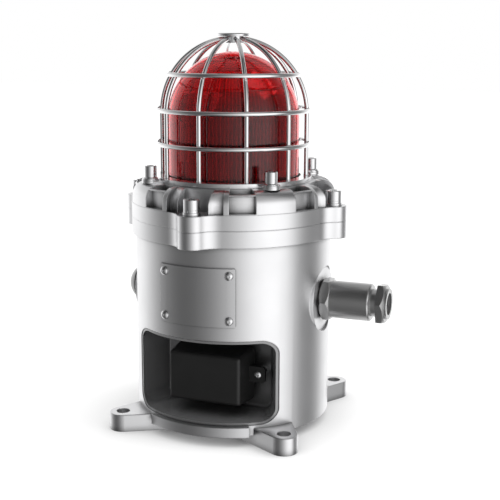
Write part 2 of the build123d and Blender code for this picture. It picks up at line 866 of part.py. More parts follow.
# Lens: a fluted wall under a domed crown with concentric steps
crown_radius = lens_radius - lens_rib_depth
rib_points = []
for index in range(2 * lens_rib_count):
    rib_angle = pi * index / lens_rib_count
    rib_radius = lens_radius - lens_rib_depth * (index % 2)
    rib_points.append((rib_radius * cos(rib_angle), rib_radius * sin(rib_angle)))
crown_points = []
for step in range(crown_step_count):
    height = crown_rise + step * (crown_radius - crown_rise) / crown_step_count
    step_radius = sqrt(crown_radius**2 - height**2)
    crown_points.append((step_radius, lens_shoulder_height + height))
    crown_points.append((step_radius, lens_shoulder_height + height + crown_step_height))
with BuildPart() as colour_lens:
    with BuildSketch(Plane.XY.offset(lamp_plate_top)):
        Polygon(*rib_points, align=None)
    extrude(amount=lens_shoulder_height - lamp_plate_top)
    with BuildSketch(Plane.XZ):
        with BuildLine():
            Line((0, lens_shoulder_height), (crown_radius, lens_shoulder_height))
            CenterArc(
                (0, lens_shoulder_height),
                crown_radius,
                0,
                degrees(asin(crown_rise / crown_radius)),
            )
            Polyline(*crown_points)
            Polyline(crown_points[-1], (0, crown_points[-1][1]), (0, lens_shoulder_height))
        make_face()
    revolve(axis=Axis.Z)
    with BuildSketch(Plane.XZ):
        with BuildLine():
            Polyline(
                (0, lamp_plate_top),
                (crown_radius - lens_wall, lamp_plate_top),
                (crown_radius - lens_wall, lens_shoulder_height),
            )
            CenterArc((0, lens_shoulder_height), crown_radius - lens_wall, 0, 90)
            Line((0, lens_shoulder_height + crown_radius - lens_wall), (0, lamp_plate_top))
        make_face()
    revolve(axis=Axis.Z, mode=Mode.SUBTRACT)
save(colour_lens.part, "colour_lens")

with BuildPart() as lamp_column:
    with BuildSketch(Plane.XY.offset(lamp_plate_top)):
        Circle(column_foot_radius)
    extrude(amount=column_foot_thickness)
    with BuildSketch(Plane.XY.offset(lamp_plate_top)):
        RegularPolygon(column_apothem, column_sides, major_radius=False, rotation=180 / column_sides)
    extrude(amount=column_top - lamp_plate_top)
    # A tapered cap under the crown of the lens
    with BuildSketch(Plane.XY.offset(column_top)):
        Circle(column_cap_radius)
    extrude(amount=column_cap_height, taper=column_cap_taper)
    with BuildSketch(Plane.XY.offset(lamp_plate_top)):
        Circle(column_bore_radius)
    extrude(
        amount=column_top + column_cap_height - column_cap_wall - lamp_plate_top, mode=Mode.SUBTRACT
    )
save(lamp_column.part, "lamp_column")

for side in range(column_sides):
    board_plane = Plane.YZ.offset(column_apothem + seat_gap)
    side_angle = side * 360 / column_sides
    with BuildPart() as led_board:
        with BuildSketch(board_plane):
            with Locations((0, led_board_bottom + led_board_height / 2)):
                Rectangle(led_board_width, led_board_height)
        extrude(amount=led_board_thickness)
    save(led_board.part.rotate(Axis.Z, side_angle), f"led_board_{side + 1}")

with BuildPart() as leds:
    led_plane = Plane.YZ.offset(column_apothem + seat_gap + led_board_thickness)
    with BuildPart(mode=Mode.PRIVATE) as led_set:
        with BuildSketch(led_plane):
            with Locations((0, led_board_bottom + led_board_height / 2)):
                with GridLocations(led_pitch_across, led_pitch_up, led_columns, led_rows):
                    Rectangle(led_size, led_size)
        extrude(amount=led_thickness)
    with PolarLocations(0, column_sides):
        add(led_set.part)
save(leds.part, "leds")

with BuildPart() as lamp_connector:
    with BuildSketch(Plane.XY.offset(lamp_plate_top)):
        with Locations(Rotation(0, 0, turn(connector_azimuth)) * Pos(connector_radius, 0)):
            Rectangle(connector_depth, connector_width)
    extrude(amount=connector_height)
save(lamp_connector.part, "lamp_connector")

# Guard base ring with a tab under each guard bolt
with BuildPart() as guard_base:
    add(ring(guard_base_inner, guard_base_outer, cover_top, guard_base_thickness))
    with BuildSketch(Plane.XY.offset(cover_top)):
        with PolarLocations(guard_bolt_circle, ear_count, start_angle=diagonal_start):
            Circle(guard_tab_radius)
            with Locations((-guard_tab_radius, 0)):
                Rectangle(2 * guard_tab_radius, 2 * guard_tab_radius)
    extrude(amount=guard_tab_thickness)
    with BuildSketch(Plane.XY.offset(cover_top)):
        Circle(guard_base_inner)
    extrude(amount=guard_base_thickness, mode=Mode.SUBTRACT)
    with BuildSketch(Plane.XY.offset(cover_top + guard_tab_thickness)):
        with PolarLocations(guard_bolt_circle, ear_count, start_angle=diagonal_start):
            Circle(guard_washer_radius + 0.2)
    extrude(amount=guard_base_thickness, mode=Mode.SUBTRACT)
    with Locations((0, 0, cover_top + guard_tab_thickness)):
        with PolarLocations(guard_bolt_circle, ear_count, start_angle=diagonal_start):
            Hole(guard_bolt_radius + through_clearance / 2, depth=guard_tab_thickness)
save(guard_base.part, "guard_base")

# One bar: straight up from the base ring, then a quarter bend in to the hub
bar_end_angle = degrees(acos((guard_hub_radius + guard_hub_gap) / guard_bar_radius))
with BuildPart() as guard_bar:
    with BuildLine(Plane.XZ) as bar_path:
        Line((guard_bar_radius, guard_base_top), (guard_bar_radius, guard_bar_bend_height))
        CenterArc((0, guard_bar_bend_height), guard_bar_radius, 0, bar_end_angle)
    with BuildSketch(Plane.XY.offset(guard_base_top)):
        with Locations((guard_bar_radius, 0)):
            Circle(guard_bar_wire / 2)
    sweep(path=bar_path.line)
for index in range(guard_bar_count):
    bar_azimuth = guard_bar_first + index * 360 / guard_bar_count
    save(guard_bar.part.rotate(Axis.Z, turn(bar_azimuth)), f"guard_bar_{index + 1:02d}")

# Rings welded round the outside of the bars
ring_offset = guard_bar_radius + (guard_bar_wire + guard_ring_wire) / 2 + guard_weld
for name, ring_rise in guard_ring_rises.items():
    height = cover_top + ring_rise
    rise = max(height - guard_bar_bend_height, 0)
    with BuildPart() as guard_ring:
        with BuildSketch(Plane.XZ):
            with Locations((sqrt(ring_offset**2 - rise**2), height)):
                Circle(guard_ring_wire / 2)
        revolve(axis=Axis.Z)
    save(guard_ring.part, f"guard_ring_{name}")

# Turned cap that takes the ends of the bars
with BuildPart() as guard_cap:
    with BuildSketch(Plane.XY.offset(guard_hub_bottom)):
        Circle(guard_hub_radius)
    extrude(amount=guard_top - guard_hub_bottom)
    with BuildSketch(Plane.XY.offset(guard_top - guard_disc_thickness)):
        Circle(guard_disc_radius)
    extrude(amount=guard_disc_thickness)
    chamfer(guard_cap.edges().group_by(Axis.Z)[-1], length=guard_disc_thickness / 3)
save(guard_cap.part, "guard_cap")

guard_screw = socket_screw(
    guard_bolt_radius,
    guard_bolt_length,
    guard_bolt_head_radius,
    guard_bolt_head_height + guard_bolt_flare_height,
    guard_bolt_socket,
    guard_bolt_flare_radius,
    guard_bolt_flare_height,
)
with BuildPart() as guard_bolts:
    with Locations((0, 0, guard_washer_top)):
        with PolarLocations(guard_bolt_circle, ear_count, start_angle=diagonal_start):
            add(guard_screw)
save(guard_bolts.part, "guard_bolts")

with BuildPart() as guard_washers:
    with BuildSketch(Plane.XY.offset(cover_top + guard_tab_thickness)):
        with PolarLocations(guard_bolt_circle, ear_count, start_angle=diagonal_start):
            Circle(guard_washer_radius)
            Circle(guard_bolt_radius + through_clearance / 2, mode=Mode.SUBTRACT)
    extrude(amount=guard_washer_thickness)
save(guard_washers.part, "guard_washers")

# Cable gland along +X: washer, locknut, body, seal and cap nut
locknut_start = entry_boss_face + gland_washer_thickness
locknut_end = locknut_start + locknut_thickness
neck_end = gland_barrel_end + gland_neck_length
stem_end = neck_end + gland_stem_length
hexagon_end = neck_end + gland_nut_length
nut_end = hexagon_end + gland_collar_length
mouth_start = nut_end - gland_mouth_wall
entry_axis = Axis((0, 0, entry_height), (1, 0, 0))

with BuildPart() as gland_washer:
    with BuildSketch(Plane.YZ.offset(entry_boss_face)):
        with Locations((0, entry_height)):
            Circle(gland_washer_radius)
            Circle(entry_thread_radius + thread_clearance, mode=Mode.SUBTRACT)
    extrude(amount=gland_washer_thickness)
save(gland_washer.part, "gland_washer")

# Locknut, its corners turned off at both ends
locknut_corner_radius = locknut_across_flats / 2 / cos(radians(30))
locknut_face_radius = locknut_across_flats / 2 - gland_edge / 2
with BuildPart() as gland_locknut:
    with BuildSketch(Plane.YZ.offset(locknut_start)):
        with Locations((0, entry_height)):
            RegularPolygon(locknut_across_flats / 2, 6, major_radius=False)
    extrude(amount=locknut_thickness)
    with BuildSketch(Plane.XZ):
        with BuildLine():
            Polyline(
                (locknut_start, entry_height),
                (locknut_start, entry_height + locknut_face_radius),
                (locknut_start + 2 * gland_edge, entry_height + locknut_corner_radius),
                (locknut_end - 2 * gland_edge, entry_height + locknut_corner_radius),
                (locknut_end, entry_height + locknut_face_radius),
                (locknut_end, entry_height),
                close=True,
            )
        make_face()
    revolve(axis=entry_axis, mode=Mode.INTERSECT)
    with BuildSketch(Plane.YZ.offset(locknut_start)):
        with Locations((0, entry_height)):
            Circle(entry_thread_radius + thread_clearance)
    extrude(amount=locknut_thickness, mode=Mode.SUBTRACT)
save(gland_locknut.part, "gland_locknut")

with BuildPart() as gland_body:
    with BuildSketch(Plane.XZ):
        with BuildLine():
            Polyline(
                (entry_inner_end, entry_height + gland_cable_bore),
                (entry_inner_end, entry_height + entry_thread_radius - thread_clearance),
                (locknut_end, entry_height + entry_thread_radius - thread_clearance),
                (locknut_end, entry_height + gland_barrel_radius),
                (gland_barrel_end - gland_edge, entry_height + gland_barrel_radius),
                (gland_barrel_end, entry_height + gland_barrel_radius - gland_edge),
                (gland_barrel_end, entry_height + gland_neck_radius),
                (neck_end, entry_height + gland_neck_radius),
                (neck_end, entry_height + gland_stem_radius),
                (stem_end, entry_height + gland_stem_radius),
                (stem_end, entry_height + gland_cable_bore),
                close=True,
            )
        make_face()
    revolve(axis=entry_axis)
save(gland_body.part, "gland_body")

with BuildPart() as gland_seal:
    with BuildSketch(Plane.YZ.offset(stem_end)):
        with Locations((0, entry_height)):
            Circle(gland_stem_radius)
            Circle(gland_cable_bore + thread_clearance, mode=Mode.SUBTRACT)
    extrude(amount=mouth_start - stem_end)
save(gland_seal.part, "gland_seal")

# Cap nut: a hexagon with its corners turned off, then a round collar with the mouth in it
nut_corner_radius = gland_nut_across_flats / 2 / cos(radians(30))
with BuildPart() as gland_nut:
    with BuildSketch(Plane.YZ.offset(neck_end)):
        with Locations((0, entry_height)):
            RegularPolygon(
                gland_nut_across_flats / 2, 6, major_radius=False, rotation=gland_nut_turn
            )
    extrude(amount=gland_nut_length)
    with BuildSketch(Plane.XZ):
        with BuildLine():
            Polyline(
                (neck_end, entry_height),
                (neck_end, entry_height + nut_corner_radius + 1),
                (hexagon_end - 2 * gland_edge, entry_height + nut_corner_radius + 1),
                (hexagon_end - 2 * gland_edge, entry_height + nut_corner_radius),
                (hexagon_end, entry_height + gland_nut_across_flats / 2 - gland_edge / 2),
                (hexagon_end, entry_height),
                close=True,
            )
        make_face()
    revolve(axis=entry_axis, mode=Mode.INTERSECT)
    with BuildSketch(Plane.YZ.offset(hexagon_end)):
        with Locations((0, entry_height)):
            Circle(gland_collar_radius)
    extrude(amount=gland_collar_length)
    with BuildSketch(Plane.YZ.offset(neck_end)):
        with Locations((0, entry_height)):
            Circle(gland_stem_radius + thread_clearance)
    extrude(amount=mouth_start - neck_end, mode=Mode.SUBTRACT)
    with BuildSketch(Plane.YZ.offset(mouth_start)):
        with Locations((0, entry_height)):
            Circle(gland_mouth_radius)
    extrude(amount=gland_mouth_wall, mode=Mode.SUBTRACT)
save(gland_nut.part, "gland_nut")

# Blanking plug along -X, with a domed head and a hexagon socket
with BuildPart() as blanking_plug:
    with BuildSketch(Plane.XZ):
        with BuildLine():
            Polyline(
                (-entry_inner_end, entry_height),
                (-entry_inner_end, entry_height + entry_thread_radius - thread_clearance),
                (-entry_boss_face, entry_height + entry_thread_radius - thread_clearance),
                (-entry_boss_face, entry_height + plug_head_radius),
                (-entry_boss_face - plug_rim, entry_height + plug_head_radius),
            )
            ThreePointArc(
                (-entry_boss_face - plug_rim, entry_height + plug_head_radius),
                (
                    -entry_boss_face - plug_rim - 0.72 * (plug_reach - entry_boss_face - plug_rim),
                    entry_height + 0.55 * plug_head_radius,
                ),
                (-plug_reach, entry_height),
            )
            Line((-plug_reach, entry_height), (-entry_inner_end, entry_height))
        make_face()
    revolve(axis=entry_axis)
    with BuildSketch(Plane.YZ.offset(-plug_reach)):
        with Locations((0, entry_height)):
            RegularPolygon(plug_socket / 2, 6, major_radius=False)
    extrude(amount=plug_socket_depth, mode=Mode.SUBTRACT)
save(blanking_plug.part, "blanking_plug")

# Tray on hexagon posts, above the sound chamber
with BuildPart() as tray_posts:
    for azimuth in tray_post_azimuths:
        with BuildSketch(Plane.XY.offset(floor_top)):
            with Locations(place(tray_post_circle, azimuth)):
                RegularPolygon(tray_post_across_flats / 2, 6, major_radius=False)
        extrude(amount=tray_height - floor_top)
        with BuildSketch(Plane.XY.offset(floor_top)):
            with Locations(place(tray_post_circle, azimuth)):
                Circle(tray_post_stub_radius)
        extrude(amount=-tray_post_stub)
        with BuildSketch(Plane.XY.offset(tray_height)):
            with Locations(place(tray_post_circle, azimuth)):
                Circle(tray_post_stub_radius)
        extrude(amount=tray_post_stub)
save(tray_posts.part, "tray_posts")

board_hole_across = board_width - 2 * board_hole_inset
board_hole_along = board_depth - 2 * board_hole_inset
with BuildPart() as board_tray:
    with BuildSketch(Plane.XY.offset(tray_height)):
        Circle(tray_radius)
        with Locations([place(tray_post_circle, a) for a in tray_post_azimuths]):
            Circle(tray_post_stub_radius + thread_clearance, mode=Mode.SUBTRACT)
        with Locations((0, board_centre_y)):
            with GridLocations(board_hole_across, board_hole_along, 2, 2):
                Circle(board_screw_radius + thread_clearance, mode=Mode.SUBTRACT)
    extrude(amount=tray_thickness)
save(board_tray.part, "board_tray")

spacer_bottom = tray_height + tray_thickness
board_bottom = spacer_bottom + board_spacer_height
board_top = board_bottom + board_thickness
with BuildPart() as board_spacers:
    with BuildSketch(Plane.XY.offset(spacer_bottom)):
        with Locations((0, board_centre_y)):
            with GridLocations(board_hole_across, board_hole_along, 2, 2):
                Circle(board_spacer_radius)
                Circle(board_screw_radius + thread_clearance, mode=Mode.SUBTRACT)
    extrude(amount=board_spacer_height)
save(board_spacers.part, "board_spacers")

with BuildPart() as control_board:
    with BuildSketch(Plane.XY.offset(board_bottom)):
        with Locations((0, board_centre_y)):
            Rectangle(board_width, board_depth)
            with GridLocations(board_hole_across, board_hole_along, 2, 2):
                Circle(board_screw_radius + thread_clearance, mode=Mode.SUBTRACT)
    extrude(amount=board_thickness)
save(control_board.part, "control_board")

with BuildPart() as board_screws:
    with BuildSketch(Plane.XY.offset(board_top)):
        with Locations((0, board_centre_y)):
            with GridLocations(board_hole_across, board_hole_along, 2, 2):
                Circle(board_screw_head_radius)
    extrude(amount=board_screw_head_height)
    with BuildSketch(Plane.XY.offset(board_top)):
        with Locations((0, board_centre_y)):
            with GridLocations(board_hole_across, board_hole_along, 2, 2):
                Circle(board_screw_radius)
    extrude(amount=-(board_thickness + board_spacer_height + tray_thickness))
save(board_screws.part, "board_screws")

# Transformer: a laminated core with a winding through it
core_width, core_depth, core_height = transformer_size
with BuildPart() as transformer:
    with BuildSketch(Plane.XY.offset(board_top)):
        with Locations(transformer_place):
            Rectangle(core_width, core_depth * 0.6)
    extrude(amount=core_height)
    with BuildSketch(Plane.XY.offset(board_top + core_height * 0.2)):
        with Locations(transformer_place):
            RectangleRounded(core_width * 0.66, core_depth, core_depth * 0.15)
    extrude(amount=core_height * 0.6)
save(transformer.part, "transformer")

way_pitch = terminal_length / terminal_ways
with BuildPart() as terminal_block:
    with BuildSketch(Plane.XY.offset(board_top)):
        with Locations(terminal_place):
            Rectangle(terminal_width, terminal_length)
    extrude(amount=terminal_height)
    with Locations((*terminal_place, board_top + terminal_height)):
        with GridLocations(terminal_width, way_pitch, 1, terminal_ways):
            Hole(way_pitch * 0.28, depth=terminal_height / 2)
save(terminal_block.part, "terminal_block")
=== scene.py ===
"""Looks of the beacon sounder.

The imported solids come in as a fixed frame. The classes below give each of them its finish, model the
small pieces that the solids leave out, and set up the studio and the camera. Everything is in metres,
in the frame of the solids: the sounder window faces -Y, the cable gland +X, and +Z is up.
"""

import json
import logging
from dataclasses import dataclass
from enum import Enum
from math import asin, cos, pi, radians, sin

import bpy
from mathutils import Matrix, Vector


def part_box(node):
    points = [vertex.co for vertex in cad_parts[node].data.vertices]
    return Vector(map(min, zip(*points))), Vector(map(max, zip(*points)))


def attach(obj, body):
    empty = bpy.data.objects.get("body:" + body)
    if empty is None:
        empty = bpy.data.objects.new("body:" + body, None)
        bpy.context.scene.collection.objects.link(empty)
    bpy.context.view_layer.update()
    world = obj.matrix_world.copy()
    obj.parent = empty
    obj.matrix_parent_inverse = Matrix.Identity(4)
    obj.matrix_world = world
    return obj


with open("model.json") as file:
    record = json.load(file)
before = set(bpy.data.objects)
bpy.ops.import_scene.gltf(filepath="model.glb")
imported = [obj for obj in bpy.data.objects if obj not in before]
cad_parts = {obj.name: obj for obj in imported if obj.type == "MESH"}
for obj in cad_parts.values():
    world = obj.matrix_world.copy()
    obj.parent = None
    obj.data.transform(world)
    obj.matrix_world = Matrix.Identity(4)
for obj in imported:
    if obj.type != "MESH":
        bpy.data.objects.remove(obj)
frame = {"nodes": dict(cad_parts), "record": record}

log = logging.getLogger("beacon_sounder")

Pair = tuple[float, float]
Triple = tuple[float, float, float]
Shade = tuple[float, float, float, float]
Socket = bpy.types.NodeSocket
Source = float | Shade | Socket

MM = 0.001
HALF_TURN = 180.0
FULL_TURN = 360.0
UNIT: Pair = (0.0, 1.0)
BODY = "root"


class Slot(Enum):
    """The material slots of the record."""

    CAST_METAL = "cast_metal"
    STEEL = "steel"
    WIRE = "wire"
    GLAND_METAL = "gland_metal"
    PLUG_METAL = "plug_metal"
    PLATE = "plate"
    BLACK_MOULDING = "black_moulding"
    CHAMBER = "chamber"
    RUBBER = "rubber"
    GLASS = "glass"
    RED_LENS = "red_lens"
    LAMP_DARK = "lamp_dark"
    BOARD = "board"
    LED = "led"
    INNER_STEEL = "inner_steel"
    TERMINAL = "terminal"


class Mix(Enum):
    """What a Mix node mixes, as its data type, the numbers of its two inputs and that of its output."""

    VALUE = ("FLOAT", 2, 3, 0)
    COLOUR = ("RGBA", 6, 7, 2)


class Output(Enum):
    """The output nodes that a surface is joined to."""

    MATERIAL = "ShaderNodeOutputMaterial"
    WORLD = "ShaderNodeOutputWorld"


def opaque(colour: Triple) -> Shade:
    """A colour with the full opacity that a colour socket asks for."""
    return (*colour, 1.0)


def grey(level: float) -> Shade:
    """An opaque grey."""
    return opaque((level, level, level))


@dataclass(frozen=True)
class PaintedFluteLight:
    """Painted light on the red lens: painted highlights along its upright rib crests, painted shade over
    its lower part where the lamp column stands behind it, and painted shade lines at the steps of its
    crown.
    """

    count: int = 104
    painted_crest_highlight: Pair = (0.2, 0.95)
    top: float = 285.2 * MM
    fade: Pair = (256.0 * MM, 268.0 * MM)
    # How light the painted rib highlights stay below the lamp column's top, under the painted shade there.
    low: float = 0.55
    lift: float = 0.42
    pitch: float = 1.97 * MM
    painted_ring_span: Pair = (-1.0, -0.2)
    painted_ring_shade: float = 0.78


class Sheet:
    """The node tree of a material or the world, with short ways to add and join nodes."""

    seen_kinds: tuple[str, ...] = ("Is Camera Ray", "Is Glossy Ray", "Is Transmission Ray")
    unplaced: float = 0.5

    def __init__(self, owner: bpy.types.Material | bpy.types.World) -> None:
        """Turns the owner's nodes on, and empties them.

        Args:
            owner: the material or world that the nodes belong to.
        """
        owner.use_nodes = True
        self.tree = owner.node_tree
        self.tree.nodes.clear()

    def add(self, kind: str) -> bpy.types.Node:
        """Adds a node of that kind."""
        return self.tree.nodes.new(kind)

    def join(self, source: Source, target: Socket) -> None:
        """Leads a value into a socket.

        Args:
            source: the value, plain or from another socket.
            target: the socket that takes it.
        """
        if isinstance(source, Socket):
            self.tree.links.new(source, target)
        else:
            target.default_value = source

    def close(self, output: Output, surface: Socket) -> None:
        """Joins the surface to its output node."""
        self.join(surface, self.add(output.value).inputs["Surface"])

    def coordinates(self) -> Socket:
        """The object coordinates, which a texture reads."""
        return self.add("ShaderNodeTexCoord").outputs["Object"]

    def axes(self) -> tuple[Socket, Socket, Socket]:
        """The object coordinates one by one.

        Returns:
            The sockets of X, Y and Z.
        """
        parts = self.add("ShaderNodeSeparateXYZ")
        self.join(self.coordinates(), parts.inputs[0])
        return parts.outputs["X"], parts.outputs["Y"], parts.outputs["Z"]

    def math(self, operation: str, first: Source, second: Source = 0.0) -> Socket:
        """Puts values through a sum.

        Args:
            operation: the Math node's operation.
            first: the first value.
            second: the second value, where the operation has one.

        Returns:
            The result's socket.
        """
        node = self.add("ShaderNodeMath")
        node.operation = operation
        self.join(first, node.inputs[0])
        self.join(second, node.inputs[1])
        return node.outputs[0]

    def stretch(self, value: Source, span: Pair, result: Pair) -> Socket:
        """Maps a range of a value to another, and clamps it there.

        Args:
            value: the value.
            span: the range it is read over.
            result: what the ends of that range become.

        Returns:
            The result's socket.
        """
        node = self.add("ShaderNodeMapRange")
        node.inputs["From Min"].default_value, node.inputs["From Max"].default_value = span
        node.inputs["To Min"].default_value, node.inputs["To Max"].default_value = result
        self.join(value, node.inputs["Value"])
        return node.outputs["Result"]

    def mix(self, kind: Mix, factor: Source, first: Source, second: Source) -> Socket:
        """Mixes two values or colours by a factor.

        Args:
            kind: whether values or colours are mixed.
            factor: 0 shows the first, 1 the second.
            first: the first value or colour.
            second: the second value or colour.

        Returns:
            The mixed value's or colour's socket.
        """
        node = self.add("ShaderNodeMix")
        node.data_type, first_input, second_input, result = kind.value
        self.join(factor, node.inputs[0])
        self.join(first, node.inputs[first_input])
        self.join(second, node.inputs[second_input])
        return node.outputs[result]

    def ramp(self, place: Source, levels: tuple[Pair, ...]) -> Socket:
        """Reads a value off a grey ramp.

        Args:
            place: the value, from 0 to 1.
            levels: pairs of a place on the ramp and the grey level there.

        Returns:
            The grey's socket.
        """
        node = self.add("ShaderNodeValToRGB")
        stops = node.color_ramp.elements
        while len(stops) < len(levels):
            stops.new(self.unplaced)
        for stop, (position, level) in zip(stops, levels):
            stop.position = position
            stop.color = grey(level)
        self.join(place, node.inputs[0])
        return node.outputs["Color"]

    def painted_shade_mask(self, reach: float, samples: int) -> Socket:
        """How open the surface is to its surroundings, the mask that painted shade in finishes and the
        floor's painted contact shadow follow.

        Args:
            reach: how far away a neighbouring surface still counts, in metres.
            samples: how many rays look for one.

        Returns:
            The socket of a value that is 1 in the open and 0 where all is closed in.
        """
        node = self.add("ShaderNodeAmbientOcclusion")
        node.samples = samples
        node.inputs["Distance"].default_value = reach
        return node.outputs["AO"]

    def seen(self) -> Socket:
        """Tells the rays that the camera sees, straight, mirrored or through glass.

        Returns:
            The socket of a value that is 1 for these rays and 0 for others.
        """
        path = self.add("ShaderNodeLightPath")
        total = path.outputs[self.seen_kinds[0]]
        for kind in self.seen_kinds[1:]:
            total = self.math("MAXIMUM", total, path.outputs[kind])
        return total


class FinishSheet(Sheet):
    """The node tree of one finish, around a Principled shader."""

    noise_middle: Pair = (0.3, 0.7)
    # Painted shade for closed-in places: its darkest grey, the range of the mask that is read, the light
    # levels at its ends, and the mask's rays.
    painted_shade_grey: float = 0.02
    painted_shade_span: Pair = (0.35, 0.90)
    painted_shade_levels: Pair = (0.2, 1.0)
    painted_shade_samples: int = 8
    edge_samples: int = 4

    def __init__(self, name: str) -> None:
        """Makes an empty material with its shader and output.

        Args:
            name: the material's name.
        """
        self.material = bpy.data.materials.new(name)
        super().__init__(self.material)
        self.shader = self.add("ShaderNodeBsdfPrincipled")
        self.close(Output.MATERIAL, self.shader.outputs["BSDF"])

    def set(self, **values: float) -> None:
        """Sets plain values on the shader, its sockets named with underscores for spaces."""
        for name, value in values.items():
            self.shader.inputs[name.replace("_", " ")].default_value = value

    def feed(self, name: str, source: Socket) -> None:
        """Joins a source to the shader's socket of that name."""
        self.join(source, self.shader.inputs[name])

    def noise(self, scale: float, detail: float = 3.0) -> Socket:
        """A noise field over the object.

        Args:
            scale: how many features there are in a metre.
            detail: the number of finer layers.

        Returns:
            The noise value's socket, from 0 to 1.
        """
        texture = self.add("ShaderNodeTexNoise")
        texture.inputs["Scale"].default_value = scale
        texture.inputs["Detail"].default_value = detail
        self.join(self.coordinates(), texture.inputs["Vector"])
        return texture.outputs[0]

    def spread(self, noise: Socket, result: Pair) -> Socket:
        """Maps the middle of a noise field, where most of it lies, onto a range."""
        return self.stretch(noise, self.noise_middle, result)

    def painted_flute_light(self, pattern: PaintedFluteLight) -> Socket:
        """Paints light on the red lens: highlights on upright rib crests round the body axis, shade over
        the lower part, and shade lines at the crown's steps above them.

        Args:
            pattern: their number and heights.

        Returns:
            The socket of the painted light, 1 on the brightest crests and 0 in the valleys.
        """
        across, along, height = self.axes()
        angle = self.math("ARCTAN2", along, across)
        wave = self.math("COSINE", self.math("MULTIPLY", angle, float(pattern.count)))
        painted_crest_highlight = self.stretch(wave, pattern.painted_crest_highlight, UNIT)
        # Painted shade: the lens is darker below the lamp column's top.
        painted_shade_below_column = self.stretch(height, pattern.fade, (pattern.low, 1.0))
        painted_valley_light = self.stretch(height, pattern.fade, (0.0, pattern.lift))
        painted_rib_light = self.math("MAXIMUM", self.math("MULTIPLY", painted_crest_highlight, painted_shade_below_column), painted_valley_light)
        rise = self.math("SUBTRACT", height, pattern.top)
        turns = self.math("MULTIPLY", rise, 2.0 * pi / pattern.pitch)
        # Painted shade lines at the steps of the crown.
        rings = self.stretch(self.math("COSINE", turns), pattern.painted_ring_span, (pattern.painted_ring_shade, 1.0))
        return self.mix(Mix.VALUE, self.math("GREATER_THAN", height, pattern.top), painted_rib_light, rings)

    def paint_hollow_shade(self, colour: Socket, reach: float) -> Socket:
        """Paints shade into a colour where the surface is closed in, as in holes, grooves and pockets.

        Args:
            colour: the open surface's colour.
            reach: how far away a neighbouring surface still counts, in metres.

        Returns:
            The socket of the colour with its painted shade.
        """
        # Painted shade: the colour is mixed towards a dark grey where the surface is closed in.
        light = self.stretch(self.painted_shade_mask(reach, self.painted_shade_samples), self.painted_shade_span, self.painted_shade_levels)
        return self.mix(Mix.COLOUR, light, grey(self.painted_shade_grey), colour)

    def relief(self, source: Socket, depth: float, edge: float) -> None:
        """Gives the surface a fine relief and softly rounded edges.

        Args:
            source: the height, from 0 to 1.
            depth: the relief's depth in metres.
            edge: the radius of the rounding of hard edges in metres, or 0.
        """
        bump = self.add("ShaderNodeBump")
        bump.inputs["Strength"].default_value = 1.0
        bump.inputs["Distance"].default_value = depth
        self.join(source, bump.inputs["Height"])
        if edge > 0:
            rounding = self.add("ShaderNodeBevel")
            rounding.samples = self.edge_samples
            rounding.inputs["Radius"].default_value = edge
            self.join(rounding.outputs["Normal"], bump.inputs["Normal"])
        self.feed("Normal", bump.outputs["Normal"])


@dataclass(frozen=True)
class OpaqueFinish:
    """A surface that no light passes: its colour, its gloss and the fine texture that its making leaves.

    Its two colours and its two roughnesses follow the same clouds: the first roughness is that of the
    dark colour, the second that of the light one.
    """

    slot: Slot
    light: Triple
    dark: Triple
    roughness: Pair
    metallic: float
    cloud: float
    grain: float
    depth: float
    edge: float
    grain_detail: float = 2.0
    # Reach of the painted shade in closed-in places, 0 for none.
    painted_shade_reach: float = 0.0

    def material(self) -> bpy.types.Material:
        """Makes the material.

        Returns:
            The material, named after its slot.
        """
        sheet = FinishSheet(self.slot.value)
        cloud = sheet.noise(self.cloud)
        grain = sheet.noise(self.grain, self.grain_detail)
        sheet.set(Metallic=self.metallic)
        colour = sheet.mix(Mix.COLOUR, cloud, opaque(self.dark), opaque(self.light))
        # Painted shade: the colour is darkened in closed-in places, out to the given reach.
        if self.painted_shade_reach > 0:
            colour = sheet.paint_hollow_shade(colour, self.painted_shade_reach)
        sheet.feed("Base Color", colour)
        sheet.feed("Roughness", sheet.spread(cloud, self.roughness))
        sheet.relief(grain, self.depth, self.edge)
        return sheet.material


@dataclass(frozen=True)
class MetalFinish(OpaqueFinish):
    """Bare metal, cast, drawn or turned."""

    metallic: float = 1.0
    cloud: float = 40.0
    grain: float = 1500.0
    depth: float = 0.004 * MM
    edge: float = 0.4 * MM


@dataclass(frozen=True)
class MouldedFinish(OpaqueFinish):
    """A moulded or coated surface that isn't bare metal: plastic, rubber, board or dark coating."""

    metallic: float = 0.0
    cloud: float = 60.0
    grain: float = 2200.0
    depth: float = 0.01 * MM
    edge: float = 0.3 * MM


@dataclass(frozen=True)
class ClearFinish:
    """Glass or clear coloured plastic, with its slight unevenness from the mould; the red lens's colour
    carries painted highlights and painted shade.
    """

    slot: Slot
    light: Triple
    dark: Triple
    roughness: Pair
    refraction: float
    through: float
    gleam: float
    wave: float = 30.0
    wave_detail: float = 1.0
    depth: float = 0.02 * MM
    painted_flute_light: PaintedFluteLight | None = None

    def material(self) -> bpy.types.Material:
        """Makes the material.

        Returns:
            The material, named after its slot.
        """
        sheet = FinishSheet(self.slot.value)
        wave = sheet.noise(self.wave, self.wave_detail)
        # For the red lens the colour follows painted light, for glass the mould's random tone.
        shade = sheet.painted_flute_light(self.painted_flute_light) if self.painted_flute_light else wave
        sheet.set(IOR=self.refraction, Transmission_Weight=self.through, Specular_IOR_Level=self.gleam)
        sheet.feed("Base Color", sheet.mix(Mix.COLOUR, shade, opaque(self.dark), opaque(self.light)))
        sheet.feed("Roughness", sheet.spread(wave, self.roughness))
        sheet.relief(wave, self.depth, 0.0)
        return sheet.material


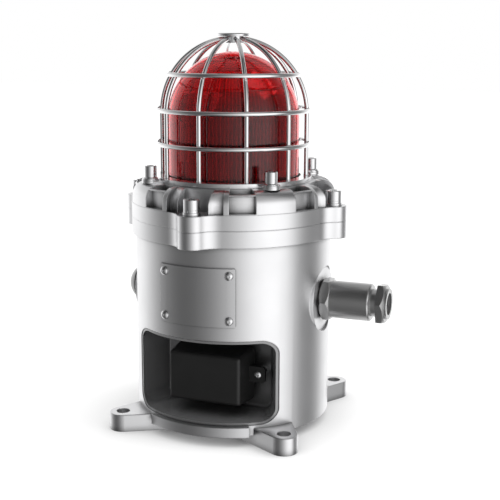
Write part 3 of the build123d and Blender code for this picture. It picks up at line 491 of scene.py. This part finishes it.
class Wardrobe:
    """The finishes of the object, and what puts them on the solids and the modelled pieces."""

    finishes: tuple[OpaqueFinish | ClearFinish, ...] = (
        MetalFinish(
            Slot.CAST_METAL,
            light=(0.83, 0.83, 0.84),
            dark=(0.79, 0.79, 0.80),
            roughness=(0.34, 0.30),
            edge=1.2 * MM,
            # Painted shade darkens holes, pockets and seams of the castings.
            painted_shade_reach=8.0 * MM,
        ),
        MetalFinish(
            Slot.STEEL,
            light=(0.82, 0.82, 0.83),
            dark=(0.76, 0.76, 0.77),
            roughness=(0.22, 0.16),
            cloud=120.0,
        ),
        MetalFinish(
            Slot.WIRE,
            light=(0.93, 0.93, 0.93),
            dark=(0.88, 0.88, 0.89),
            roughness=(0.12, 0.07),
            cloud=160.0,
            edge=0.0,
        ),
        MetalFinish(
            Slot.GLAND_METAL,
            light=(0.60, 0.60, 0.60),
            dark=(0.56, 0.56, 0.56),
            roughness=(0.34, 0.30),
            cloud=60.0,
        ),
        MetalFinish(
            Slot.PLUG_METAL,
            light=(0.36, 0.36, 0.36),
            dark=(0.30, 0.30, 0.30),
            roughness=(0.34, 0.28),
            cloud=90.0,
        ),
        MetalFinish(
            Slot.PLATE,
            light=(0.83, 0.83, 0.84),
            dark=(0.79, 0.79, 0.80),
            roughness=(0.33, 0.28),
            edge=0.25 * MM,
        ),
        MetalFinish(
            Slot.INNER_STEEL,
            light=(0.62, 0.62, 0.63),
            dark=(0.54, 0.54, 0.55),
            roughness=(0.38, 0.28),
            cloud=80.0,
        ),
        MouldedFinish(
            Slot.BLACK_MOULDING,
            light=(0.014, 0.014, 0.014),
            dark=(0.010, 0.010, 0.010),
            roughness=(0.40, 0.48),
        ),
        MouldedFinish(
            Slot.CHAMBER,
            light=(0.34, 0.34, 0.345),
            dark=(0.30, 0.30, 0.305),
            roughness=(0.20, 0.26),
            metallic=0.6,
            depth=0.002 * MM,
            edge=0.5 * MM,
            # Painted shade darkens the liner's corners and its deep back.
            painted_shade_reach=16.0 * MM,
        ),
        MouldedFinish(
            Slot.RUBBER,
            light=(0.15, 0.15, 0.15),
            dark=(0.12, 0.12, 0.12),
            roughness=(0.50, 0.60),
        ),
        MouldedFinish(
            Slot.LAMP_DARK,
            light=(0.016, 0.014, 0.014),
            dark=(0.010, 0.009, 0.009),
            roughness=(0.45, 0.55),
        ),
        MouldedFinish(
            Slot.BOARD,
            light=(0.020, 0.090, 0.035),
            dark=(0.015, 0.070, 0.028),
            roughness=(0.35, 0.45),
        ),
        MouldedFinish(
            Slot.LED,
            light=(0.08, 0.06, 0.04),
            dark=(0.06, 0.045, 0.03),
            roughness=(0.20, 0.30),
        ),
        MouldedFinish(
            Slot.TERMINAL,
            light=(0.10, 0.22, 0.14),
            dark=(0.08, 0.19, 0.12),
            roughness=(0.40, 0.50),
        ),
        ClearFinish(
            Slot.GLASS,
            light=(0.98, 0.10, 0.11),
            dark=(0.96, 0.08, 0.09),
            roughness=(0.0, 0.01),
            refraction=1.47,
            through=1.0,
            gleam=0.04,
        ),
        ClearFinish(
            Slot.RED_LENS,
            # Its light colour is the lens's red and its dark colour is painted shade, mixed by the painted
            # light on the lens.
            light=(1.0, 0.011, 0.013),
            dark=(0.02, 0.0005, 0.0005),
            roughness=(0.01, 0.03),
            refraction=1.49,
            through=0.86,
            gleam=0.0,
            painted_flute_light=PaintedFluteLight(),
        ),
    )

    def __init__(self) -> None:
        """Makes each finish once."""
        self.materials = {finish.slot: finish.material() for finish in self.finishes}
        self.slots = {row["node"]: Slot(row["material_slot"]) for row in frame["record"]["subparts"]}

    def dress_node(self, name: str) -> None:
        """Puts its finish on a solid of the frame.

        Args:
            name: the solid's node.
        """
        slot = self.slots[name]
        mesh = frame["nodes"][name].data
        mesh.materials.clear()
        mesh.materials.append(self.materials[slot])
        log.info("%s wears %s", name, slot.value)

    def dress_piece(self, piece: bpy.types.Object, slot: Slot) -> None:
        """Puts a finish on a modelled piece, and lets it ride on the body.

        Args:
            piece: the modelled piece, in place.
            slot: the record's slot that it takes its finish from.
        """
        piece.data.materials.clear()
        piece.data.materials.append(self.materials[slot])
        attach(piece, BODY)
        log.info("%s modelled in %s", piece.name, slot.value)


class Bench:
    """The modelling steps that more than one piece uses."""

    @staticmethod
    def clear() -> None:
        """Deselects every object."""
        bpy.ops.object.select_all(action="DESELECT")

    @staticmethod
    def repeat(pattern: bpy.types.Object, places: list[Matrix], name: str) -> bpy.types.Object:
        """Copies a pattern to each place, joins the copies and removes the pattern.

        Args:
            pattern: the modelled piece, at the origin.
            places: where each copy goes.
            name: the joined piece's name.

        Returns:
            The joined piece, its object at the origin.
        """
        copies = []
        for place in places:
            copy = pattern.copy()
            copy.data = pattern.data.copy()
            copy.matrix_world = place
            bpy.context.scene.collection.objects.link(copy)
            copies.append(copy)
        bpy.data.objects.remove(pattern)
        Bench.clear()
        for copy in copies:
            copy.select_set(True)
        bpy.context.view_layer.objects.active = copies[0]
        bpy.ops.object.join()
        piece = bpy.context.view_layer.objects.active
        bpy.ops.object.transform_apply(location=True, rotation=True, scale=True)
        piece.name = name
        piece.data.name = name
        return piece


@dataclass
class Assembly:
    """A sub-assembly, given by the solids that it is made of."""

    nodes: tuple[str, ...] = ()

    def build(self, wardrobe: Wardrobe) -> None:
        """Dresses the solids of the sub-assembly."""
        for name in self.nodes:
            wardrobe.dress_node(name)


@dataclass
class Housing(Assembly):
    """The lower casting with its plate, seal and the plug in its left entry."""

    nodes: tuple[str, ...] = ("housing", "name_plate", "plate_screws", "flange_seal", "blanking_plug")


@dataclass
class Sounder(Assembly):
    """The dark liner in the window with the sounder case that is screwed into it."""

    nodes: tuple[str, ...] = (
        "sound_chamber",
        "sounder_case",
        "sounder_back",
        "sounder_driver",
        "sounder_posts",
        "sounder_screws",
    )


@dataclass
class Cover(Assembly):
    """The upper casting with its bolts and washers."""

    nodes: tuple[str, ...] = ("cover", "cover_bolts", "cover_washers", "spring_washers")


@dataclass
class Lamp(Assembly):
    """The glass dome, the red lens and the lamp inside them."""

    nodes: tuple[str, ...] = (
        "glass_dome",
        "dome_seal",
        "dome_retainer",
        "lamp_plate",
        "lamp_plate_screws",
        "colour_lens",
        "lamp_column",
        "lamp_connector",
        "leds",
    )
    boards: int = 6

    def build(self, wardrobe: Wardrobe) -> None:
        """Dresses the solids of the lamp, its boards among them.

        Args:
            wardrobe: what holds the finishes.
        """
        super().build(wardrobe)
        for number in range(1, self.boards + 1):
            wardrobe.dress_node(f"led_board_{number}")


@dataclass
class Guard(Assembly):
    """The welded wire guard, with a weld where each bar crosses a ring or stands on the base."""

    nodes: tuple[str, ...] = (
        "guard_base",
        "guard_ring_lower",
        "guard_ring_middle",
        "guard_ring_upper",
        "guard_cap",
        "guard_bolts",
        "guard_washers",
    )
    bars: int = 10
    first_azimuth: float = -4.87
    bend_height: float = 253.2 * MM
    bar_radius: float = 59.2 * MM
    wire: float = 3.5 * MM
    ring_heights: tuple[float, ...] = (229.4 * MM, 256.1 * MM, 284.0 * MM)
    bead_radius: float = 1.75 * MM
    bead_shape: Triple = (0.75, 1.35, 1.2)
    bead_segments: int = 12
    bead_rings: int = 8
    fillet_share: float = 0.85
    fillet_height: float = 1.2 * MM
    fillet_sides: int = 16
    fillet_taper: float = 0.66
    fillet_edge: float = 0.2 * MM
    fillet_edge_steps: int = 2

    def bar_azimuths(self) -> list[float]:
        """The azimuth of each bar, in radians from +X.

        Returns:
            The azimuths, the front bar's first.
        """
        azimuths = []
        for number in range(self.bars):
            azimuths.append(radians(self.first_azimuth + number * FULL_TURN / self.bars) - pi / 2)
        return azimuths

    def weld_bead(self) -> bpy.types.Object:
        """Models one weld of a ring: a low round bead, wider than it is deep.

        Returns:
            The bead, at the origin, its depth along X.
        """
        Bench.clear()
        bpy.ops.mesh.primitive_uv_sphere_add(
            segments=self.bead_segments, ring_count=self.bead_rings, radius=self.bead_radius
        )
        bead = bpy.context.active_object
        bpy.ops.object.mode_set(mode="EDIT")
        bpy.ops.mesh.select_all(action="SELECT")
        bpy.ops.transform.resize(value=self.bead_shape)
        bpy.ops.object.mode_set(mode="OBJECT")
        bpy.ops.object.shade_smooth()
        return bead

    def weld_fillet(self) -> bpy.types.Object:
        """Models the weld at one bar's foot: a low fillet that narrows upwards.

        Returns:
            The fillet, standing on the origin.
        """
        middle = self.fillet_height / 2
        Bench.clear()
        bpy.ops.mesh.primitive_cylinder_add(
            vertices=self.fillet_sides,
            radius=self.wire * self.fillet_share,
            depth=self.fillet_height,
            location=(0.0, 0.0, middle),
        )
        fillet = bpy.context.active_object
        bpy.ops.object.transform_apply(location=True, rotation=False, scale=False)
        for vertex in fillet.data.vertices:
            vertex.select = vertex.co.z > middle
        bpy.ops.object.mode_set(mode="EDIT")
        bpy.ops.mesh.select_mode(type="VERT")
        bpy.ops.transform.resize(value=(self.fillet_taper, self.fillet_taper, 1.0))
        bpy.ops.mesh.bevel(offset=self.fillet_edge, segments=self.fillet_edge_steps)
        bpy.ops.object.mode_set(mode="OBJECT")
        bpy.ops.object.shade_smooth()
        return fillet

    def ring_welds(self) -> bpy.types.Object:
        """Models the welds between the bars and the rings.

        Returns:
            The joined welds.
        """
        contact = self.bar_radius + self.wire / 2
        places = []
        for height in self.ring_heights:
            tilt = asin(max(0.0, height - self.bend_height) / contact)
            lean = Matrix.Rotation(-tilt, 4, "Y")
            point = Vector((contact * cos(tilt), 0.0, height))
            for azimuth in self.bar_azimuths():
                spin = Matrix.Rotation(azimuth, 4, "Z")
                places.append(spin @ Matrix.Translation(point) @ lean)
        return Bench.repeat(self.weld_bead(), places, "guard_ring_welds")

    def base_welds(self) -> bpy.types.Object:
        """Models the fillet of weld where each bar stands on the base ring.

        Returns:
            The joined welds.
        """
        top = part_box("guard_base")[1].z
        places = []
        for azimuth in self.bar_azimuths():
            point = Vector((self.bar_radius * cos(azimuth), self.bar_radius * sin(azimuth), top))
            places.append(Matrix.Translation(point))
        return Bench.repeat(self.weld_fillet(), places, "guard_base_welds")

    def build(self, wardrobe: Wardrobe) -> None:
        """Dresses the guard's solids, its bars among them, and models its welds.

        Args:
            wardrobe: what holds the finishes.
        """
        super().build(wardrobe)
        for number in range(1, self.bars + 1):
            wardrobe.dress_node(f"guard_bar_{number:02d}")
        wardrobe.dress_piece(self.ring_welds(), Slot.WIRE)
        wardrobe.dress_piece(self.base_welds(), Slot.WIRE)


@dataclass
class Gland(Assembly):
    """The cable gland in the right entry."""

    nodes: tuple[str, ...] = ("gland_washer", "gland_locknut", "gland_body", "gland_seal", "gland_nut")


@dataclass
class Electronics(Assembly):
    """The tray of boards inside the housing."""

    nodes: tuple[str, ...] = (
        "tray_posts",
        "board_tray",
        "board_spacers",
        "control_board",
        "board_screws",
        "transformer",
        "terminal_block",
    )


@dataclass(frozen=True)
class SoftLamp:
    """A soft square lamp that points at the object's middle."""

    name: str
    place: Triple
    side: float
    power: float
    aim: Triple = (0.0, 0.0, 0.14)

    def hang(self) -> None:
        """Makes the lamp and hangs it in its place."""
        data = bpy.data.lights.new(self.name, "AREA")
        data.shape = "SQUARE"
        data.size = self.side
        data.energy = self.power
        lamp = bpy.data.objects.new(self.name, data)
        towards = Vector(self.aim) - Vector(self.place)
        turn = towards.to_track_quat("-Z", "Y").to_matrix().to_4x4()
        lamp.matrix_world = Matrix.Translation(self.place) @ turn
        lamp.visible_glossy = False
        lamp.visible_camera = False
        bpy.context.scene.collection.objects.link(lamp)


@dataclass
class Studio:
    """The floor, the white surroundings, the tent that metal reflects, the lamps and the camera.

    The tent's panels are pairs of an azimuth, in degrees from the camera's own, and a brightness, and its
    rises are pairs of a height, from 0 at its lowest point to 1 at its highest, and a brightness.
    """

    camera_place: Triple = (0.3044, -0.7681, 0.3082)
    camera_turn: float = 20.67
    camera_pitch: float = 78.49
    camera_roll: float = 0.23
    lens: float = 73.1
    sensor: float = 36.0
    clip: Pair = (0.01, 100.0)
    sky_level: float = 0.75
    floor_half: float = 6.0
    floor_grey: float = 0.55
    floor_share: float = 0.62
    # The painted contact shadow in the floor's glow: its reach and its rays.
    painted_shadow_reach: float = 60 * MM
    painted_shadow_samples: int = 16
    tent_radius: float = 3.0
    tent_segments: int = 96
    tent_peak: float = 1.36
    panels: tuple[Pair, ...] = (
        (-180, 1.00),
        (-132, 0.90),
        (-113, 0.62),
        (-97, 0.33),
        (-84, 0.20),
        (-71, 0.11),
        (-58, 0.08),
        (-45, 0.10),
        (-30, 0.15),
        (-10, 0.32),
        (10, 0.62),
        (28, 0.93),
        (42, 1.00),
        (62, 1.00),
        (71, 0.62),
        (82, 0.22),
        (98, 0.16),
        (112, 0.22),
        (124, 0.55),
        (136, 0.90),
        (155, 1.00),
    )
    rises: tuple[Pair, ...] = (
        (0.0, 0.5),
        (0.3, 0.9),
        (0.45, 1.0),
        (0.6, 1.0),
        (0.72, 0.6),
        (0.85, 0.35),
        (1.0, 0.3),
    )
    lamps: tuple[SoftLamp, ...] = (
        SoftLamp("key_lamp", place=(1.1, 0.3, 1.6), side=1.2, power=14.0),
        SoftLamp("fill_lamp", place=(-0.9, -1.3, 1.0), side=1.4, power=6.0),
    )

    def camera(self) -> None:
        """Sets the camera at the photograph's place."""
        data = bpy.data.cameras.new("camera")
        data.lens = self.lens
        data.sensor_width = self.sensor
        data.clip_start, data.clip_end = self.clip
        camera = bpy.data.objects.new("camera", data)
        turn = Matrix.Rotation(radians(self.camera_turn), 4, "Z")
        pitch = Matrix.Rotation(radians(self.camera_pitch), 4, "X")
        roll = Matrix.Rotation(radians(self.camera_roll), 4, "Z")
        camera.matrix_world = Matrix.Translation(self.camera_place) @ turn @ pitch @ roll
        bpy.context.scene.collection.objects.link(camera)
        bpy.context.scene.camera = camera

    def world(self) -> None:
        """Makes the surroundings white where they are seen, and a plain sky for diffuse light."""
        world = bpy.data.worlds.new("studio")
        sheet = Sheet(world)
        light = sheet.add("ShaderNodeBackground")
        light.inputs["Color"].default_value = grey(1.0)
        level = sheet.stretch(sheet.seen(), UNIT, (self.sky_level, 1.0))
        sheet.join(level, light.inputs["Strength"])
        sheet.close(Output.WORLD, light.outputs[0])
        bpy.context.scene.world = world

    def floor(self) -> None:
        """Lays the white floor, which keeps the object's shadow, with a painted contact shadow in its glow
        where the object closes it in.
        """
        Bench.clear()
        bpy.ops.mesh.primitive_plane_add(size=2 * self.floor_half)
        floor = bpy.context.active_object
        floor.name = "floor"
        material = bpy.data.materials.new("floor")
        sheet = Sheet(material)
        diffuse = sheet.add("ShaderNodeBsdfDiffuse")
        diffuse.inputs["Color"].default_value = grey(self.floor_grey)
        share = sheet.math("MULTIPLY", sheet.seen(), self.floor_share)
        # Painted shadow: the glow is dimmed where the object closes the floor in.
        glow_with_painted_shadow = sheet.math("MULTIPLY", share, sheet.painted_shade_mask(self.painted_shadow_reach, self.painted_shadow_samples))
        glow = sheet.add("ShaderNodeEmission")
        sheet.join(glow_with_painted_shadow, glow.inputs["Strength"])
        both = sheet.add("ShaderNodeAddShader")
        sheet.join(diffuse.outputs[0], both.inputs[0])
        sheet.join(glow.outputs[0], both.inputs[1])
        sheet.close(Output.MATERIAL, both.outputs[0])
        floor.data.materials.append(material)
        floor.visible_glossy = False

    def tent(self) -> None:
        """Puts up the tent round the object: lit and dark panels that only metal and glass reflect."""
        Bench.clear()
        bpy.ops.mesh.primitive_uv_sphere_add(
            segments=self.tent_segments, ring_count=self.tent_segments // 2, radius=self.tent_radius
        )
        tent = bpy.context.active_object
        tent.name = "tent"
        bpy.ops.object.shade_smooth()
        material = bpy.data.materials.new("tent")
        sheet = Sheet(material)
        across, along, height = sheet.axes()
        azimuth = sheet.math("ARCTAN2", across, sheet.math("MULTIPLY", along, -1.0))
        around = sheet.ramp(sheet.stretch(azimuth, (-pi, pi), UNIT), self.panel_levels())
        up = sheet.stretch(height, (-self.tent_radius, self.tent_radius), UNIT)
        level = sheet.math("MULTIPLY", around, sheet.ramp(up, self.rises))
        glow = sheet.add("ShaderNodeEmission")
        sheet.join(sheet.math("MULTIPLY", level, self.tent_peak), glow.inputs["Strength"])
        sheet.close(Output.MATERIAL, glow.outputs[0])
        tent.data.materials.append(material)
        tent.visible_camera = False
        tent.visible_diffuse = False
        tent.visible_transmission = False
        tent.visible_shadow = False
        tent.visible_volume_scatter = False

    def panel_levels(self) -> tuple[Pair, ...]:
        """Turns the tent's panels to their places.

        Returns:
            Pairs of a place round the tent, from 0 to 1, and the brightness there.
        """
        turned = []
        for offset, level in self.panels:
            azimuth = (offset + self.camera_turn + HALF_TURN) % FULL_TURN
            turned.append((azimuth / FULL_TURN, level))
        return tuple(sorted(turned))

    def build(self) -> None:
        """Sets up the whole studio."""
        self.camera()
        self.world()
        self.floor()
        self.tent()
        for lamp in self.lamps:
            lamp.hang()
        bpy.context.scene.view_settings.view_transform = "Standard"


def main() -> None:
    """Builds the sub-assemblies in order, then the studio."""
    logging.basicConfig(level=logging.INFO, format="%(message)s")
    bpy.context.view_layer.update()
    wardrobe = Wardrobe()
    for part in (Housing(), Sounder(), Cover(), Lamp(), Guard(), Gland(), Electronics()):
        part.build(wardrobe)
    Studio().build()


if __name__ == "__main__":
    main()
